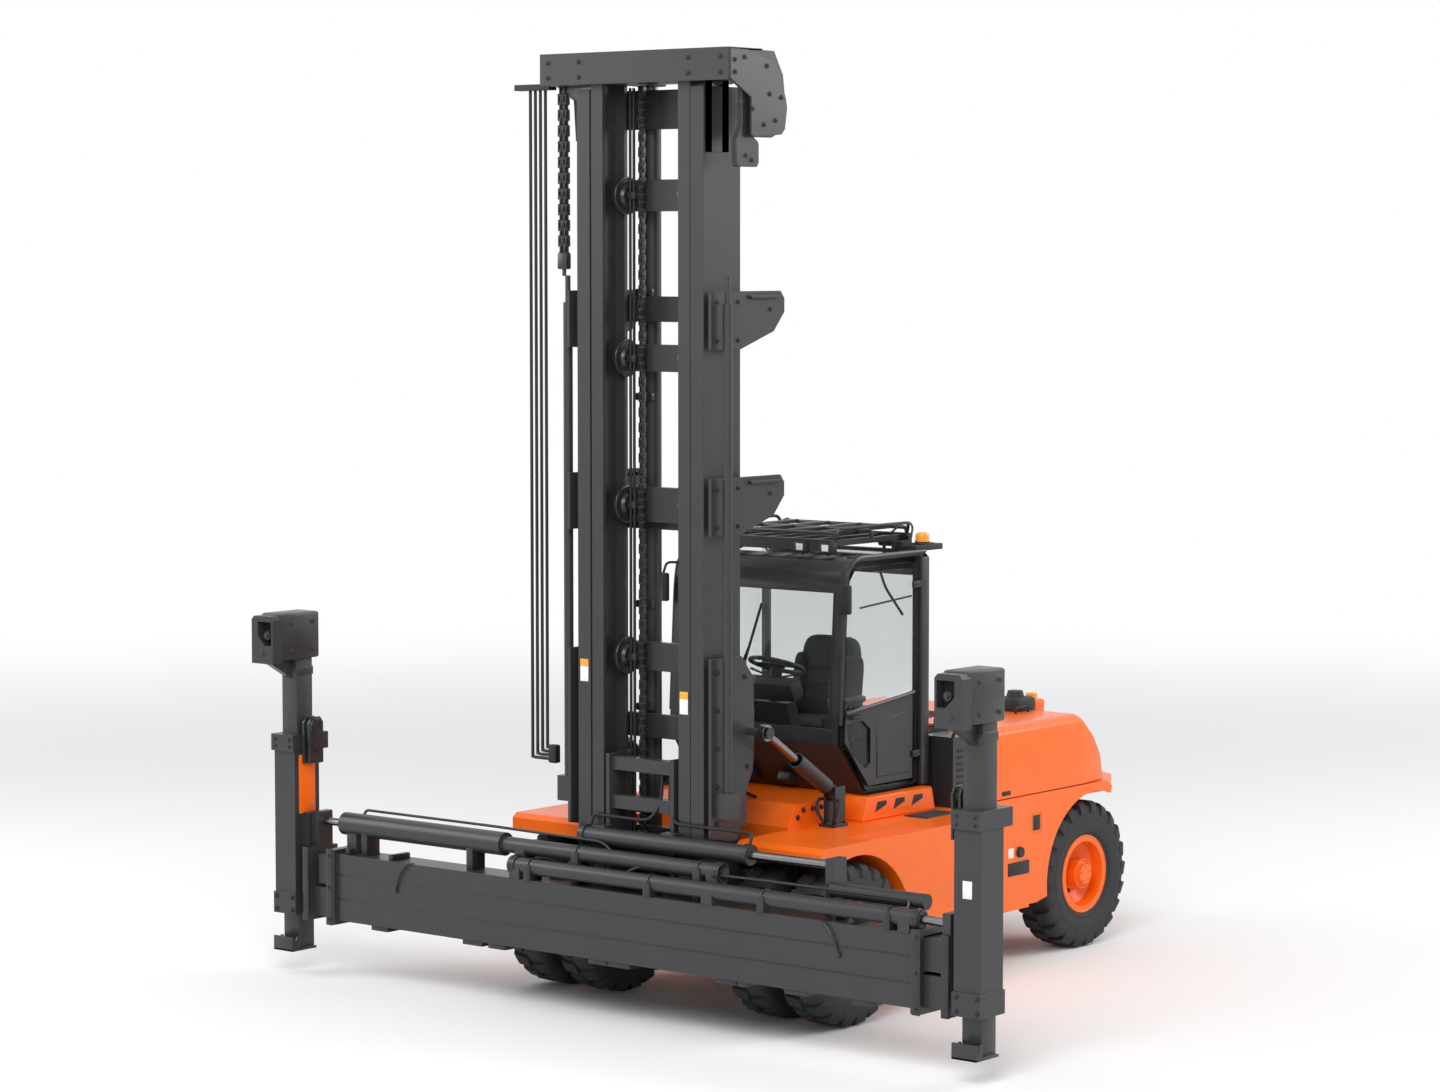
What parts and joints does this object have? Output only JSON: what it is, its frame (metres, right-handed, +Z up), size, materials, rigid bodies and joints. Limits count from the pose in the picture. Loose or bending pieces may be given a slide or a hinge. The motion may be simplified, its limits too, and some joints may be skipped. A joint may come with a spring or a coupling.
{
  "type": "empty container handler",
  "caption": "Counterbalanced truck with a two-stage mast and a side spreader that reaches out to grip empty shipping containers by their top corners.",
  "frame": {"origin": "on the floor, under the middle of the bounding box", "axes": "+X to the machine's left, -Y forward towards the spreader, +Z up, as the machine stands parked"},
  "size_m": [6.116, 5.25, 6.41],
  "materials": {
    "mast_grey": "satin charcoal paint",
    "orange_paint": "glossy orange paint",
    "tyre_rubber": "worn dark tyre rubber",
    "rod_chrome": "polished rods",
    "window_glass": "clear tinted glass",
    "seat_fabric": "dark seat cloth",
    "black_plastic": "matte black plastic",
    "chain_steel": "oiled chain steel",
    "hose_black": "dull hose",
    "black_metal": "satin black paint",
    "amber_lens": "amber lens",
    "engine_iron": "dark cast iron"
  },
  "bodies": {
    "truck": {"chassis": "black_metal", "front_axle": "black_metal", "steer_axle": "black_metal", "body_left": "orange_paint", "body_right": "orange_paint", "cowl": "orange_paint", "counterweight": "orange_paint", "engine": "engine_iron", "air_cover": "black_metal", "cab": "black_metal", "cab_glass": "window_glass", "seat": "seat_fabric", "controls": "black_plastic", "roof_guard": "black_metal", "beacon": "amber_lens", "tilt_brackets": "black_metal"},
    "outer_mast": {"outer_mast": "mast_grey", "lift_barrels": "mast_grey", "chain_anchors": "mast_grey"},
    "inner_mast": {"inner_mast": "mast_grey", "lift_rods": "rod_chrome", "lift_chains": "chain_steel", "hose_lines": "hose_black"},
    "carriage": {"carriage": "mast_grey", "shift_barrel": "mast_grey"},
    "spreader": {"spreader_beam": "mast_grey", "reach_barrels": "mast_grey", "shift_rod": "rod_chrome"},
    "end_left": {"end_beam_left": "mast_grey", "reach_rod_left": "rod_chrome"},
    "end_right": {"end_beam_right": "mast_grey", "reach_rod_right": "rod_chrome"},
    "post_left": {"post_left": "mast_grey"},
    "post_right": {"post_right": "mast_grey"},
    "front_wheels_left": {"front_tyres_left": "tyre_rubber", "front_rims_left": "orange_paint"},
    "front_wheels_right": {"front_tyres_right": "tyre_rubber", "front_rims_right": "orange_paint"},
    "knuckle_left": {"knuckle_left": "black_metal"},
    "knuckle_right": {"knuckle_right": "black_metal"},
    "rear_wheel_left": {"rear_tyre_left": "tyre_rubber", "rear_rim_left": "orange_paint"},
    "rear_wheel_right": {"rear_tyre_right": "tyre_rubber", "rear_rim_right": "orange_paint"},
    "door": {"cab_door": "black_metal", "door_glass": "window_glass"},
    "hood": {"hood": "orange_paint"},
    "tilt_barrels": {"tilt_barrels": "mast_grey"},
    "tilt_rods": {"tilt_rods": "rod_chrome"}
  },
  "joints": [
    {"name": "mast_tilt", "type": "hinge", "parent": "truck", "child": "outer_mast", "pos_m": [0, -1.565, 0.56], "axis": [-1, 0, 0], "range_deg": [-3, 6]},
    {"name": "mast_lift", "type": "slide", "parent": "outer_mast", "child": "inner_mast", "axis": [0, 0, 1], "range_m": [0, 4.3]},
    {"name": "carriage_lift", "type": "slide", "parent": "inner_mast", "child": "carriage", "axis": [0, 0, 1], "range_m": [0, 4.3]},
    {"name": "side_shift", "type": "slide", "parent": "carriage", "child": "spreader", "axis": [1, 0, 0], "range_m": [-0.3, 0.3]},
    {"name": "reach_left", "type": "slide", "parent": "spreader", "child": "end_left", "axis": [1, 0, 0], "range_m": [0, 3.066]},
    {"name": "reach_right", "type": "slide", "parent": "spreader", "child": "end_right", "axis": [-1, 0, 0], "range_m": [0, 3.066]},
    {"name": "post_slide_left", "type": "slide", "parent": "end_left", "child": "post_left", "axis": [0, 0, 1], "range_m": [-0.1, 0.15]},
    {"name": "post_slide_right", "type": "slide", "parent": "end_right", "child": "post_right", "axis": [0, 0, 1], "range_m": [-0.1, 0.15]},
    {"name": "front_wheels_left", "type": "hinge", "parent": "truck", "child": "front_wheels_left", "pos_m": [0.97, -1.375, 0.5425], "axis": [1, 0, 0], "continuous": true},
    {"name": "steer_left", "type": "hinge", "parent": "truck", "child": "knuckle_left", "pos_m": [0.56, 2.025, 0.5425], "axis": [0, 0, 1], "range_deg": [-40, 40]},
    {"name": "rear_wheel_left", "type": "hinge", "parent": "knuckle_left", "child": "rear_wheel_left", "pos_m": [0.735, 2.025, 0.5425], "axis": [1, 0, 0], "continuous": true},
    {"name": "front_wheels_right", "type": "hinge", "parent": "truck", "child": "front_wheels_right", "pos_m": [-0.97, -1.375, 0.5425], "axis": [1, 0, 0], "continuous": true},
    {"name": "steer_right", "type": "hinge", "parent": "truck", "child": "knuckle_right", "pos_m": [-0.56, 2.025, 0.5425], "axis": [0, 0, 1], "range_deg": [-40, 40]},
    {"name": "rear_wheel_right", "type": "hinge", "parent": "knuckle_right", "child": "rear_wheel_right", "pos_m": [-0.735, 2.025, 0.5425], "axis": [1, 0, 0], "continuous": true},
    {"name": "cab_door", "type": "hinge", "parent": "truck", "child": "door", "pos_m": [0.754, 0.159, 2.2], "axis": [0, 0, 1], "range_deg": [0, 90]},
    {"name": "hood", "type": "hinge", "parent": "truck", "child": "hood", "pos_m": [0, 0.71, 1.77], "axis": [1, 0, 0], "range_deg": [0, 50]},
    {"name": "tilt_barrels", "type": "hinge", "parent": "truck", "child": "tilt_barrels", "pos_m": [0, -0.867, 1.442], "axis": [-1, 0, 0], "range_deg": [-3.5, 6.5]},
    {"name": "tilt_rods", "type": "slide", "parent": "tilt_barrels", "child": "tilt_rods", "axis": [0, -0.8416, 0.5401], "range_m": [-0.13, 0.07]}
  ],
  "couplings": [
    {"joint": "carriage_lift", "follows": "mast_lift", "ratio": 1},
    {"joint": "reach_right", "follows": "reach_left", "ratio": 1},
    {"joint": "steer_right", "follows": "steer_left", "ratio": 1},
    {"joint": "tilt_barrels", "follows": "mast_tilt", "ratio": 0.904},
    {"joint": "tilt_rods", "follows": "mast_tilt", "m_per_rad": -1.1174}
  ]
}
